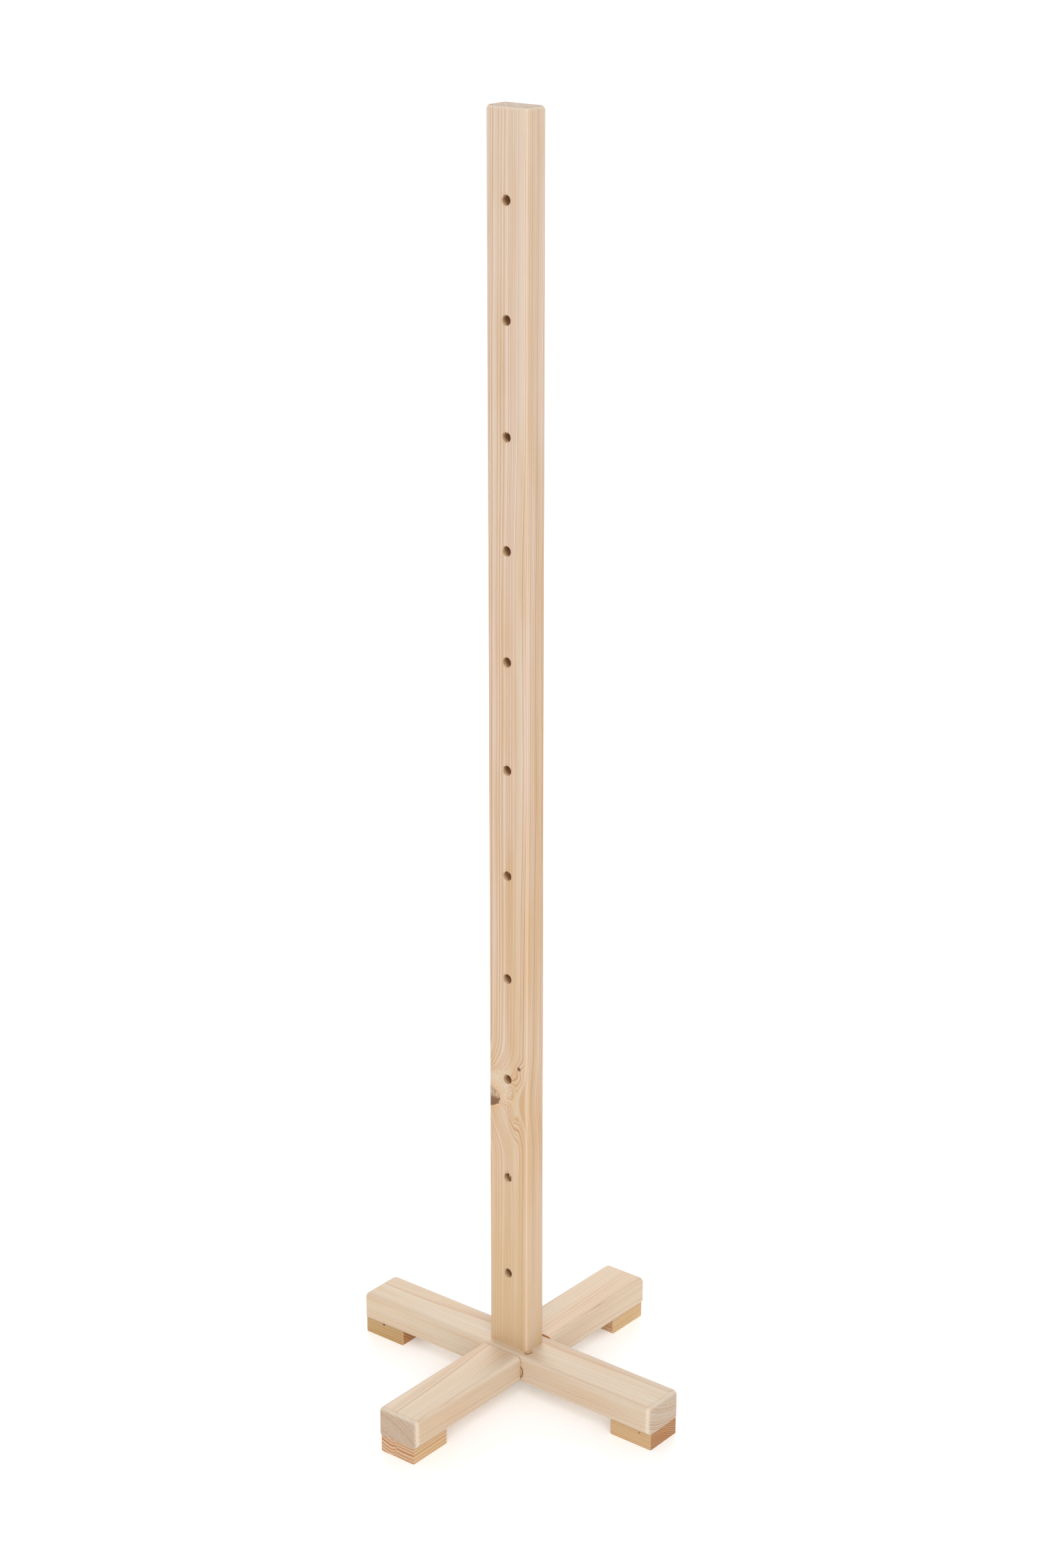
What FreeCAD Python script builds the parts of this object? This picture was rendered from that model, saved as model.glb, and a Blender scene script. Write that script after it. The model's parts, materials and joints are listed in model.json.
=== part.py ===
import FreeCAD, Part
import math
import os

# Standing coat rack: a drilled post on a cross of two half-lapped rails with four foot pads.
# Millimetres. X runs along the long rail, Y along the cross rail, Z up from the floor.
# The origin is on the floor, under the middle of the cross.

V = FreeCAD.Vector
UP = V(0, 0, 1)

# --- timber sizes -------------------------------------------------------------------------
post_width = 68.0         # along X, the drilled face
post_depth = 39.0         # along Y
post_length = 1730.0
post_round = 6.0          # upright and top edges
rail_width = 70.0
rail_height = 42.0
rail_length = 520.0
rail_round = 7.5          # all edges but the lower edges of the ends
pad_length = 70.0
pad_width = 58.0
pad_thickness = 25.0
pad_ease = 1.0            # small easing on the pads' lower edges
pad_inner_round = 3.0     # upper and lower edge of a pad's inner end

# --- row of holes -------------------------------------------------------------------------
peg_hole_diameter = 14.0
peg_hole_pitch = 150.0
peg_hole_first = 115.0    # lowest hole above the foot of the post
peg_hole_end = 100.0      # least distance of the highest hole from the top of the post

# --- half lap -----------------------------------------------------------------------------
lap_clearance = 0.2       # each side of the notches

# --- fixings ------------------------------------------------------------------------------
wood_clearance = 0.05     # between a thread or a dowel and its pilot hole, on the radius
bolt_diameter = 8.0
bolt_reach = 25.0         # end of the bolt above the foot of the post
bolt_head_across_flats = 13.0
bolt_head_height = 5.3
bolt_thread_pitch = 1.25
bolt_thread_length = 23.0
bolt_hole_clearance = 0.3
bolt_head_sink = 1.7      # bolt head above the cross rail's underside
bolt_end_gap = 3.0
washer_diameter = 24.0
washer_hole_clearance = 0.2
washer_thickness = 2.0
washer_ease = 0.3
counterbore_clearance = 1.0
insert_length = 25.0
insert_recess = 0.5
insert_bore_clearance = 0.1
insert_wall = 0.9         # from the bore to the root of the outer thread
insert_thread_pitch = 2.5
insert_thread_depth = 1.0
insert_slot_width = 1.5
insert_slot_depth = 2.0
dowel_diameter = 8.0
dowel_length = 40.0
dowel_in_rail = 15.0
dowel_edge = 13.0         # dowel's middle from the post's narrow side
dowel_end_gap = 1.0
dowel_ease = 1.0
dowel_flutes = 16
dowel_flute_size = 0.5    # width and twice the depth of a flute
screw_diameter = 4.5
screw_core = 3.0
screw_head_diameter = 9.0
screw_head_depth = 3.2
screw_point_length = 5.0
screw_thread_pitch = 2.2
screw_hole_end_gap = 1.0
pad_screw_bite = 26.0     # into the rail
pad_screw_edge = 17.0     # screw's middle from the pad's ends
pad_screw_recess = 1.0    # screw head below the pad's underside
lap_screw_bite = 12.0     # into the long rail
lap_screw_recess = 0.5    # screw head above the cross rail's underside
lap_screw_edge = 14.0     # screw's middle from the sides of both rails
recess_radius = 2.1       # star-shaped drive recess
recess_depth = 2.0
cut_past = 1.0            # how far a cut runs past the surface it starts from
near = 0.01               # how close an edge's middle is to the plane that it lies in

# --- worked out from these ----------------------------------------------------------------
rail_bottom = pad_thickness
rail_top = rail_bottom + rail_height
lap_plane = rail_bottom + rail_height / 2
post_top = rail_top + post_length
half_rail = rail_length / 2
pad_screw_length = pad_thickness - pad_screw_recess + pad_screw_bite
lap_screw_length = lap_plane - rail_bottom - lap_screw_recess + lap_screw_bite
bolt_head_bottom = rail_bottom + bolt_head_sink
bolt_head_top = bolt_head_bottom + bolt_head_height
washer_top = bolt_head_top + washer_thickness
bolt_end = rail_top + bolt_reach
bolt_hole_radius = bolt_diameter / 2 + bolt_hole_clearance
insert_bottom = rail_top + insert_recess
insert_top = insert_bottom + insert_length
insert_bore = bolt_diameter / 2 + insert_bore_clearance
insert_radius = insert_bore + insert_wall + insert_thread_depth
dowel_bottom = rail_top - dowel_in_rail
dowel_top = dowel_bottom + dowel_length
peg_hole_count = int((post_length - peg_hole_first - peg_hole_end) / peg_hole_pitch) + 1


def block(x_half, y_half, bottom, top):
    return Part.makeBox(2 * x_half, 2 * y_half, top - bottom, V(-x_half, -y_half, bottom))


def cylinder(radius, bottom, top, x=0.0, y=0.0):
    return Part.makeCylinder(radius, top - bottom, V(x, y, bottom))


def rounded(solid, radius, wanted):
    """Round the edges whose middle passes the test."""
    return solid.makeFillet(radius, [e for e in solid.Edges if wanted(e.CenterOfMass)])


def turned(profile):
    """A solid of revolution about Z from (radius, height) points."""
    points = [V(r, 0, z) for r, z in profile]
    outline = Part.Wire(Part.makePolygon(points + points[:1]))
    return Part.Face(outline).revolve(V(0, 0, 0), UP, 360)


def ribbed(core, crest, start, stop, pitch):
    """(radius, height) points of thread ridges of one pitch, from start up to stop."""
    points = []
    for turn in range(int((stop - start) / pitch)):
        foot = start + turn * pitch
        points += [(core, foot), (crest, foot + 0.5 * pitch), (core, foot + 0.75 * pitch)]
    return points


def polar_point(radius, degrees, height):
    angle = math.radians(degrees)
    return V(radius * math.cos(angle), radius * math.sin(angle), height)


def quarter_turned(shape, quarters):
    copy = shape.copy()
    copy.rotate(V(0, 0, 0), UP, 90 * quarters)
    return copy


def moved(shape, x, y, z=0.0):
    copy = shape.copy()
    copy.translate(V(x, y, z))
    return copy


# --- wood screws --------------------------------------------------------------------------
def drive_recess():
    """A six-pointed star, cut into a screw's head."""
    points = []
    for step in range(13):
        radius = recess_radius if step % 2 == 0 else 0.72 * recess_radius
        points.append(polar_point(radius, 30 * step, 0))
    return Part.Face(Part.Wire(Part.makePolygon(points))).extrude(V(0, 0, recess_depth))


def wood_screw(length):
    """A countersunk screw that points up, its head's face at height 0."""
    head, core, crest = screw_head_diameter / 2, screw_core / 2, screw_diameter / 2
    point_start = length - screw_point_length
    profile = [(0, 0), (head, 0), (core, screw_head_depth)]
    thread_start = screw_head_depth + screw_thread_pitch
    profile += ribbed(core, crest, thread_start, point_start, screw_thread_pitch)
    profile += [(core, point_start), (0, length)]
    return turned(profile).cut(drive_recess())


def screws(length, height, places):
    """Like screws, their heads' faces at one height."""
    return Part.makeCompound([moved(wood_screw(length), x, y, height) for x, y in places])


def screw_hole(length, recess):
    """What is cut for a screw whose head's face is at height 0, with recess below it to the surface."""
    head = screw_head_diameter / 2 + wood_clearance
    body = screw_diameter / 2 + wood_clearance
    top = length + screw_hole_end_gap
    profile = [(0, -recess), (head, -recess), (head, 0)]
    profile += [(body, screw_head_depth), (body, top), (0, top)]
    return turned(profile)


def pad_screw_places():
    """Middles of the two screws of the pad on the +X end."""
    return [(half_rail - pad_length + pad_screw_edge, 0), (half_rail - pad_screw_edge, 0)]


def lap_screw_places():
    offset = rail_width / 2 - lap_screw_edge
    return [(offset, -offset), (-offset, offset)]


def pad_screw_holes(quarters):
    hole = screw_hole(pad_screw_length, pad_screw_recess)
    holes = Part.makeCompound([moved(hole, x, y, pad_screw_recess) for x, y in pad_screw_places()])
    return quarter_turned(holes, quarters)


def lap_screw_holes():
    hole = screw_hole(lap_screw_length, lap_screw_recess)
    return [moved(hole, x, y, rail_bottom + lap_screw_recess) for x, y in lap_screw_places()]


# --- fixing between the cross and the post ------------------------------------------------
def bolt_holes():
    """Through both rails, with a counterbore for the washer and the bolt's head."""
    counterbore_radius = washer_diameter / 2 + counterbore_clearance
    return [
        cylinder(counterbore_radius, rail_bottom - cut_past, washer_top),
        cylinder(bolt_hole_radius, rail_bottom - cut_past, rail_top + cut_past),
    ]


def post_bolt():
    """A hexagon bolt that points up, its head chamfered below."""
    corner = bolt_head_across_flats / math.sqrt(3)
    corners = [polar_point(corner, 60 * k, bolt_head_bottom) for k in range(7)]
    head = Part.Face(Part.Wire(Part.makePolygon(corners))).extrude(V(0, 0, bolt_head_height))
    rim = 0.95 * bolt_head_across_flats / 2
    chamfer_top = bolt_head_bottom + 0.5 * (corner - rim)
    outline = [(0, bolt_head_bottom), (rim, bolt_head_bottom), (corner, chamfer_top)]
    head = head.common(turned(outline + [(corner, bolt_head_top), (0, bolt_head_top)]))
    core, crest = bolt_diameter / 2 - 0.6 * bolt_thread_pitch, bolt_diameter / 2
    thread_start = bolt_end - bolt_thread_length
    thread_stop = bolt_end - bolt_thread_pitch
    shank = [(0, bolt_head_top), (crest, bolt_head_top), (crest, thread_start - bolt_thread_pitch)]
    shank += ribbed(core, crest, thread_start, thread_stop, bolt_thread_pitch)
    shank += [(core, thread_stop), (0.85 * core, bolt_end), (0, bolt_end)]
    return head.fuse(turned(shank)).removeSplitter()


def post_bolt_washer():
    hole, rim = bolt_diameter / 2 + washer_hole_clearance, washer_diameter / 2
    edge = [(rim - washer_ease, bolt_head_top), (rim, bolt_head_top + washer_ease)]
    return turned([(hole, bolt_head_top)] + edge + [(rim, washer_top), (hole, washer_top)])


def threaded_insert():
    core = insert_radius - insert_thread_depth
    thread_start, thread_stop = insert_bottom + insert_slot_depth, insert_top - insert_wall
    profile = [(insert_bore, insert_bottom), (core, insert_bottom)]
    profile += ribbed(core, insert_radius, thread_start, thread_stop, insert_thread_pitch)
    profile += [(core, insert_top), (insert_bore, insert_top)]
    slot_top = insert_bottom + insert_slot_depth
    driver_slot = block(2 * insert_radius, insert_slot_width / 2, insert_bottom - cut_past, slot_top)
    return turned(profile).cut(driver_slot)


def insert_hole():
    """In the foot of the post, deep enough for the bolt's end as well."""
    start = rail_top - cut_past
    wide = cylinder(insert_radius + wood_clearance, start, insert_top)
    deep = cylinder(bolt_hole_radius, start, max(bolt_end, insert_top) + bolt_end_gap)
    return [wide, deep]


def dowel(x):
    """A fluted dowel with eased ends."""
    radius, eased = dowel_diameter / 2, dowel_diameter / 2 - dowel_ease
    profile = [(0, dowel_bottom), (eased, dowel_bottom), (radius, dowel_bottom + dowel_ease)]
    profile += [(radius, dowel_top - dowel_ease), (eased, dowel_top), (0, dowel_top)]
    half_flute = dowel_flute_size / 2
    flute = block(half_flute, half_flute, dowel_bottom - cut_past, dowel_top + cut_past)
    grooves = []
    for k in range(dowel_flutes):
        groove = moved(flute, radius, 0)
        groove.rotate(V(0, 0, 0), UP, 360 * k / dowel_flutes)
        grooves.append(groove)
    return moved(turned(profile).cut(grooves), x, 0)


def dowel_places():
    offset = post_width / 2 - dowel_edge
    return [-offset, offset]


def dowel_holes():
    radius = dowel_diameter / 2 + wood_clearance
    low, high = dowel_bottom - dowel_end_gap, dowel_top + dowel_end_gap
    return [cylinder(radius, low, high, x) for x in dowel_places()]


# --- timber -------------------------------------------------------------------------------
def plain_rail():
    """A rail along X, rounded all over but for the lower edges of its ends, which sit on the pads."""
    rail = block(half_rail, rail_width / 2, rail_bottom, rail_top)
    return rounded(rail, rail_round, lambda middle: middle.z > rail_bottom + near or abs(middle.x) < near)


def long_rail():
    notch = block(rail_width / 2 + lap_clearance, rail_width, rail_bottom - cut_past, lap_plane)
    cuts = [notch, pad_screw_holes(0), pad_screw_holes(2)]
    return plain_rail().cut(cuts + bolt_holes() + dowel_holes() + lap_screw_holes())


def cross_rail():
    notch = block(rail_width, rail_width / 2 + lap_clearance, lap_plane, rail_top + cut_past)
    cuts = [notch, pad_screw_holes(1), pad_screw_holes(3)]
    return quarter_turned(plain_rail(), 1).cut(cuts + bolt_holes() + lap_screw_holes())


def foot_pad(quarters):
    inner = half_rail - pad_length
    pad = Part.makeBox(pad_length, pad_width, pad_thickness, V(inner, -pad_width / 2, 0))
    pad = rounded(pad, pad_inner_round, lambda middle: middle.x < inner + near and abs(middle.y) < near)
    pad = rounded(pad, pad_ease, lambda middle: middle.z < near and middle.x > inner + pad_inner_round)
    return quarter_turned(pad, quarters).cut(pad_screw_holes(quarters))


def peg_holes():
    holes = []
    for k in range(peg_hole_count):
        height = rail_top + peg_hole_first + k * peg_hole_pitch
        start = V(0, -post_depth, height)
        holes.append(Part.makeCylinder(peg_hole_diameter / 2, 2 * post_depth, start, V(0, 1, 0)))
    return holes


def post():
    body = block(post_width / 2, post_depth / 2, rail_top, post_top)
    body = rounded(body, post_round, lambda middle: middle.z > rail_top + near)
    return body.cut(peg_holes() + insert_hole() + dowel_holes())


# --- all the pieces -----------------------------------------------------------------------
parts = {
    "post": post(),
    "long_rail": long_rail(),
    "cross_rail": cross_rail(),
    "post_bolt": post_bolt(),
    "post_bolt_washer": post_bolt_washer(),
    "threaded_insert": threaded_insert(),
    "locating_dowels": Part.makeCompound([dowel(x) for x in dowel_places()]),
    "lap_screws": screws(lap_screw_length, rail_bottom + lap_screw_recess, lap_screw_places()),
}
for quarters, side in enumerate(["right", "back", "left", "front"]):
    pad_screws = screws(pad_screw_length, pad_screw_recess, pad_screw_places())
    parts["foot_pad_" + side] = foot_pad(quarters)
    parts["pad_screws_" + side] = quarter_turned(pad_screws, quarters)

os.makedirs("parts", exist_ok=True)
for name, shape in parts.items():
    if not shape.isValid():
        raise ValueError(name + " is not a valid solid")
    shape.exportStep("parts/" + name + ".step")
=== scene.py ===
from dataclasses import dataclass
import json
import math

import bpy
from mathutils import Euler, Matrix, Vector


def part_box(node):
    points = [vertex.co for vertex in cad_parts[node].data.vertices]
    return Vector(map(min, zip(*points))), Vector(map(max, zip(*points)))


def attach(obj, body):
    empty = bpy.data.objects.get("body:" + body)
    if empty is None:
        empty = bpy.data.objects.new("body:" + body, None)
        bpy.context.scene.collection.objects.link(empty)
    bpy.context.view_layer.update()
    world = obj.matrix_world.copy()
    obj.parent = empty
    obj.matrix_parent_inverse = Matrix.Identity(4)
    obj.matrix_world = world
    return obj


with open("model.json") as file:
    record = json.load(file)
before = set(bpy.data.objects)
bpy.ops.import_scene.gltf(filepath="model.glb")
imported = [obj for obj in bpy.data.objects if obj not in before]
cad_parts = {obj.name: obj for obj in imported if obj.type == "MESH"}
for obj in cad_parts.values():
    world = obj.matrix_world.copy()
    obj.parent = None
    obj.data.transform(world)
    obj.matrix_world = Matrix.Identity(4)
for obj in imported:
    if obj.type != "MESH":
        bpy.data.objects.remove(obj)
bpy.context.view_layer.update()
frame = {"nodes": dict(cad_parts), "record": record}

nodes = frame["nodes"]

# Patterns are drawn in millimetres and the model is in metres.
MM = 1000.0
GRAIN_UP = (0.0, math.radians(90), 0.0)      # board length along Z
GRAIN_ALONG_X = (0.0, 0.0, 0.0)
GRAIN_ALONG_Y = (0.0, 0.0, math.radians(-90))


# --- small tools ---------------------------------------------------------------------------
def colour(hex_code, alpha=1.0):
    """A linear colour from an sRGB hex code."""
    channels = [int(hex_code[i:i + 2], 16) / 255 for i in (0, 2, 4)]
    linear = [c / 12.92 if c <= 0.04045 else ((c + 0.055) / 1.055) ** 2.4 for c in channels]
    return (*linear, alpha)


def grey(value):
    """A plain share from 0 to 1, as a ramp's colour."""
    return (value, value, value, 1.0)


def live(sockets, key=0):
    """The socket of that name or place among those in use."""
    used = [s for s in sockets if s.enabled]
    return used[key] if isinstance(key, int) else next(s for s in used if s.name == key)


def add(tree, kind, inputs=None, **settings):
    """A node with its settings; an input is linked to a node or a socket, or set to a value."""
    node = tree.nodes.new(kind)
    for name, value in settings.items():
        setattr(node, name, value)
    for key, value in (inputs or {}).items():
        target = live(node.inputs, key)
        if isinstance(value, bpy.types.Node):
            value = live(value.outputs)
        if isinstance(value, bpy.types.NodeSocket):
            tree.links.new(value, target)
        else:
            target.default_value = value
    return node


def fill_ramp(ramp, stops):
    """Puts (position, colour) stops on a ramp node."""
    elements = ramp.color_ramp.elements
    while len(elements) < len(stops):
        elements.new(0.5)
    for element, (position, value) in zip(elements, stops):
        element.position = position
        element.color = value
    return ramp


def new_material(name):
    """A material with an empty tree."""
    material = bpy.data.materials.new(name)
    material.use_nodes = True
    material.node_tree.nodes.clear()
    return material, material.node_tree


def place_in_mm(tree):
    """The object's own coordinates: their node, and the place in millimetres."""
    texture = add(tree, "ShaderNodeTexCoord")
    place = add(tree, "ShaderNodeVectorMath", {
        0: live(texture.outputs, "Object"), "Scale": MM}, operation="SCALE")
    return texture, place


def every(x, y, z):
    """A Mapping node's scale for a pattern whose marks are this many millimetres long each way."""
    return (1 / x, 1 / y, 1 / z)


# --- what one board is ----------------------------------------------------------------------
@dataclass
class Knot:
    """A branch through a board, in the object's own millimetres."""
    at: tuple                 # a point on its axis
    way: tuple                # the way it grows
    radius: float             # of the branch wood; 0 where only the rings bend
    lift: float               # growth rings that it draws outwards; below zero, inwards
    reach: float              # how far the rings bend
    core: float = 0           # how near they bend fully
    heart: str = "8a5a35"     # the branch wood's colour
    rim: str = "4a2a16"       # the bark line's colour
    rim_side: tuple = None    # where the bark line shows, if it isn't all round
    torn: bool = False        # its upper half is torn and pale
    burl: float = 0           # how far the grain round it is torn and pale
    pointed: bool = False     # the rings bend to a point, not a hump


@dataclass
class Holes:
    """A row of holes drilled through a standing board, in millimetres."""
    radius: float
    depth: float              # from the board's middle to its face
    first: float              # height of the lowest
    pitch: float


@dataclass
class Board:
    """How one board grew, was cut and is coloured. Lengths are in the object's own millimetres."""
    turn: tuple               # brings its length onto X
    pith: tuple               # a point on the middle line of its trunk
    ring: float               # one year's growth
    cream: str                # early wood, which drifts from this colour
    blush: str                # to this one
    late: str                 # late wood
    late_strength: float      # late wood's share of the colour in the boldest lines
    end_tint: str             # sawn ends
    seed: float               # sets its patterns apart from the other boards'
    taper: float = 0.012      # how much the trunk narrows per millimetre of its length
    wobble: float = 7.0       # slow wandering of the rings
    ripple: float = 0.6       # quick wandering of the rings
    unevenness: float = 2.6   # growth rings that a run of good years gains
    plainness: float = 1.6    # above 1 most years' lines are faint, below 1 most are bold
    faintest: float = 0.22    # the faintest year's line, as a share of the boldest
    end_strength: float = 0.7  # how strongly the rings show on sawn ends
    late_start: float = 0.78  # share of the year that is over when the late wood starts
    painted_edge_highlight: float = 0.27     # how strongly a painted highlight pales the rounded edges
    toning: tuple = None      # heights, top then foot, between which cream turns to blush
    knots: tuple = ()
    holes: Holes = None
    notch: float = None       # where along Y its notch stops


# --- softwood ------------------------------------------------------------------------------
def growth_rings(tree, place, board):
    """Growth rings of a trunk in three dimensions, cut by whatever face shows them.
    Returns the place in the trunk, with X along the grain from the pith, how late in its year the wood
    grew (0 to 1), which year that was, and the distance from each knot."""
    pith_place = Vector(board.pith)
    pith_place.rotate(Euler(board.turn))
    # The rings wander slowly over the length of the trunk, and quickly over a hand's breadth.
    trunk = add(tree, "ShaderNodeMapping", {
        "Vector": place, "Rotation": board.turn, "Location": -pith_place})
    slow = add(tree, "ShaderNodeMapping", {
        "Vector": trunk, "Location": (board.seed, board.seed, board.seed), "Scale": every(420, 60, 60)})
    sway = add(tree, "ShaderNodeTexNoise", {"Vector": slow, "Scale": 1.0, "Detail": 1.0})
    swayed = add(tree, "ShaderNodeVectorMath", {
        0: live(sway.outputs, "Color"), 1: (0.0, board.wobble, board.wobble), 2: trunk,
    }, operation="MULTIPLY_ADD")
    quick = add(tree, "ShaderNodeMapping", {"Vector": trunk, "Scale": every(70, 9, 9)})
    ripples = add(tree, "ShaderNodeTexNoise", {"Vector": quick, "Scale": 1.0, "Detail": 2.0})
    rippled = add(tree, "ShaderNodeVectorMath", {
        0: live(ripples.outputs, "Color"), 1: (0.0, board.ripple, board.ripple), 2: swayed,
    }, operation="MULTIPLY_ADD")
    crosswise = add(tree, "ShaderNodeVectorMath", {0: rippled, 1: (0.0, 1.0, 1.0)}, operation="MULTIPLY")
    radius = add(tree, "ShaderNodeVectorMath", {0: crosswise}, operation="LENGTH")
    along = live(add(tree, "ShaderNodeSeparateXYZ", {"Vector": trunk}).outputs, "X")
    cone = add(tree, "ShaderNodeMath", {0: along, 1: board.taper, 2: radius}, operation="MULTIPLY_ADD")
    count = add(tree, "ShaderNodeMath", {0: cone, 1: 1 / board.ring}, operation="MULTIPLY")
    distances = []
    for knot in board.knots:
        offset = add(tree, "ShaderNodeVectorMath", {0: place, 1: knot.at}, operation="SUBTRACT")
        way = Vector(knot.way).normalized()
        away = add(tree, "ShaderNodeVectorMath", {0: offset, 1: way}, operation="CROSS_PRODUCT")
        distance = add(tree, "ShaderNodeVectorMath", {0: away}, operation="LENGTH")
        pull = add(tree, "ShaderNodeMapRange", {
            "Value": distance, "From Min": knot.core, "From Max": knot.reach,
            "To Min": -knot.lift, "To Max": 0.0,
        }, interpolation_type="LINEAR" if knot.pointed else "SMOOTHERSTEP")
        count = add(tree, "ShaderNodeMath", {0: count, 1: pull}, operation="ADD")
        distances.append(distance)
    # Good and bad years come in runs of about three.
    years = add(tree, "ShaderNodeMath", {0: count, 1: 0.31}, operation="MULTIPLY")
    good_years = add(tree, "ShaderNodeTexNoise", {
        "W": years, "Scale": 1.0, "Detail": 1.0}, noise_dimensions="1D")
    count = add(tree, "ShaderNodeMath", {
        0: good_years, 1: board.unevenness, 2: count}, operation="MULTIPLY_ADD")
    season = add(tree, "ShaderNodeMath", {0: count}, operation="FRACT")
    year = add(tree, "ShaderNodeMath", {0: count}, operation="FLOOR")
    return trunk, season, year, distances


def year_lines(tree, board, season, year):
    """How dark the wood is in its year: pale, then darker to a thin line that stops short. Some years are
    bolder than others."""
    darkening = 0.36     # share of the year in which the wood darkens
    band = fill_ramp(add(tree, "ShaderNodeValToRGB", {"Fac": season}), [
        (0.0, grey(0.5)), (0.07, grey(0.06)), (board.late_start - darkening, grey(0.1)),
        (board.late_start, grey(0.62)), (0.93, grey(1.0)), (1.0, grey(0.5))])
    chance = add(tree, "ShaderNodeTexWhiteNoise", {"W": year}, noise_dimensions="1D")
    rarity = add(tree, "ShaderNodeMath", {
        0: live(chance.outputs, "Value"), 1: board.plainness}, operation="POWER")
    vigour = add(tree, "ShaderNodeMapRange", {"Value": rarity, "To Min": board.faintest, "To Max": 1.0})
    return add(tree, "ShaderNodeMath", {0: band, 1: vigour}, operation="MULTIPLY")


def tone_along(tree, board, trunk, drift_share, lateness):
    """Turns a standing board from cream at the top to blush at the foot, with its lines boldest half way
    down and faint at the foot."""
    top, foot = board.toning
    along = live(add(tree, "ShaderNodeSeparateXYZ", {"Vector": trunk}).outputs, "X")
    slope = add(tree, "ShaderNodeMapRange", {
        "Value": along, "From Min": top, "From Max": foot, "To Min": -0.5, "To Max": 0.5})
    drift_share = add(tree, "ShaderNodeMath", {0: drift_share, 1: slope}, operation="ADD", use_clamp=True)
    share = add(tree, "ShaderNodeMapRange", {"Value": along, "From Min": top, "From Max": foot})
    depth = fill_ramp(add(tree, "ShaderNodeValToRGB", {"Fac": share}), [
        (0.0, grey(0.72)), (0.5, grey(1.0)), (0.82, grey(0.85)), (1.0, grey(0.42))])
    lateness = add(tree, "ShaderNodeMath", {0: lateness, 1: depth}, operation="MULTIPLY")
    return drift_share, lateness


def planed_face(tree, board, trunk, lines):
    """Wood planed along the grain, with drifts of colour, fine fibres and short resin dashes.
    Returns its colour, how late its wood is, and its fibres."""
    lateness = add(tree, "ShaderNodeMath", {0: lines, 1: board.late_strength}, operation="MULTIPLY")
    drift_place = add(tree, "ShaderNodeMapping", {
        "Vector": trunk, "Location": (board.seed, 0.0, 0.0), "Scale": every(260, 22, 22)})
    drift = add(tree, "ShaderNodeTexNoise", {"Vector": drift_place, "Scale": 1.0, "Detail": 2.0})
    drift_share = add(tree, "ShaderNodeMapRange", {"Value": drift, "From Min": 0.3, "From Max": 0.7})
    if board.toning:
        drift_share, lateness = tone_along(tree, board, trunk, drift_share, lateness)
    base = add(tree, "ShaderNodeMix", {
        "Factor": drift_share, "A": colour(board.cream), "B": colour(board.blush)}, data_type="RGBA")
    wood = add(tree, "ShaderNodeMix", {
        "Factor": lateness, "A": base, "B": colour(board.late)}, data_type="RGBA")

    # Fibres are far finer than this: they are drawn 0.7 mm wide so that they show.
    fibre_place = add(tree, "ShaderNodeMapping", {"Vector": trunk, "Scale": every(45, 0.7, 0.7)})
    fibre = add(tree, "ShaderNodeTexNoise", {
        "Vector": fibre_place, "Scale": 1.0, "Detail": 3.0, "Roughness": 0.6})
    fibre_shade = add(tree, "ShaderNodeMapRange", {
        "Value": fibre, "From Min": 0.25, "From Max": 0.75, "To Min": 0.955, "To Max": 1.03})
    # Resin canals are finer too, and are drawn 0.9 mm wide.
    resin_place = add(tree, "ShaderNodeMapping", {"Vector": trunk, "Scale": every(9, 0.9, 0.9)})
    resin = add(tree, "ShaderNodeTexNoise", {"Vector": resin_place, "Scale": 1.0, "Detail": 0.0})
    resin_shade = add(tree, "ShaderNodeMapRange", {
        "Value": resin, "From Min": 0.78, "From Max": 0.86, "To Min": 1.0, "To Max": 0.86})
    shade = add(tree, "ShaderNodeMath", {0: fibre_shade, 1: resin_shade}, operation="MULTIPLY")
    wood = add(tree, "ShaderNodeVectorMath", {0: wood, "Scale": shade}, operation="SCALE")
    return wood, lateness, fibre


def grain_facing(tree, board, normal):
    """How squarely a face looks along the grain: 1 on a sawn end, 0 on a planed face."""
    grain_way = Vector((1.0, 0.0, 0.0))
    grain_way.rotate(Euler(board.turn).to_matrix().inverted())
    towards = add(tree, "ShaderNodeVectorMath", {0: normal, 1: grain_way}, operation="DOT_PRODUCT")
    return add(tree, "ShaderNodeMath", {0: towards}, operation="ABSOLUTE")


def sawn_end(tree, board, trunk, lines):
    """Wood sawn across the grain: greyer, with its rings, pores and the saw's own slanting marks.
    Returns its colour and its marks."""
    ring_share = add(tree, "ShaderNodeMath", {0: lines, 1: board.end_strength}, operation="MULTIPLY")
    wood = add(tree, "ShaderNodeMix", {
        "Factor": ring_share, "A": colour(board.end_tint), "B": colour(board.late)}, data_type="RGBA")
    # The saw left slanting marks 1.1 mm apart.
    saw_slant = math.radians(-38)
    saw_place = add(tree, "ShaderNodeMapping", {
        "Vector": trunk, "Rotation": (saw_slant, 0.0, 0.0), "Scale": every(5, 6, 1.1)})
    saw = add(tree, "ShaderNodeTexNoise", {"Vector": saw_place, "Scale": 1.0, "Detail": 2.0})
    # Pores are drawn 1 mm wide so that they show.
    pores = add(tree, "ShaderNodeTexNoise", {
        "Vector": trunk, "Scale": 1 / 1.0, "Detail": 2.0, "Roughness": 0.6})
    marks = add(tree, "ShaderNodeMath", {0: saw, 1: pores}, operation="ADD")
    shade = add(tree, "ShaderNodeMapRange", {
        "Value": marks, "From Min": 0.8, "From Max": 1.2, "To Min": 0.89, "To Max": 1.07})
    wood = add(tree, "ShaderNodeVectorMath", {0: wood, "Scale": shade}, operation="SCALE")
    return wood, marks


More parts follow.
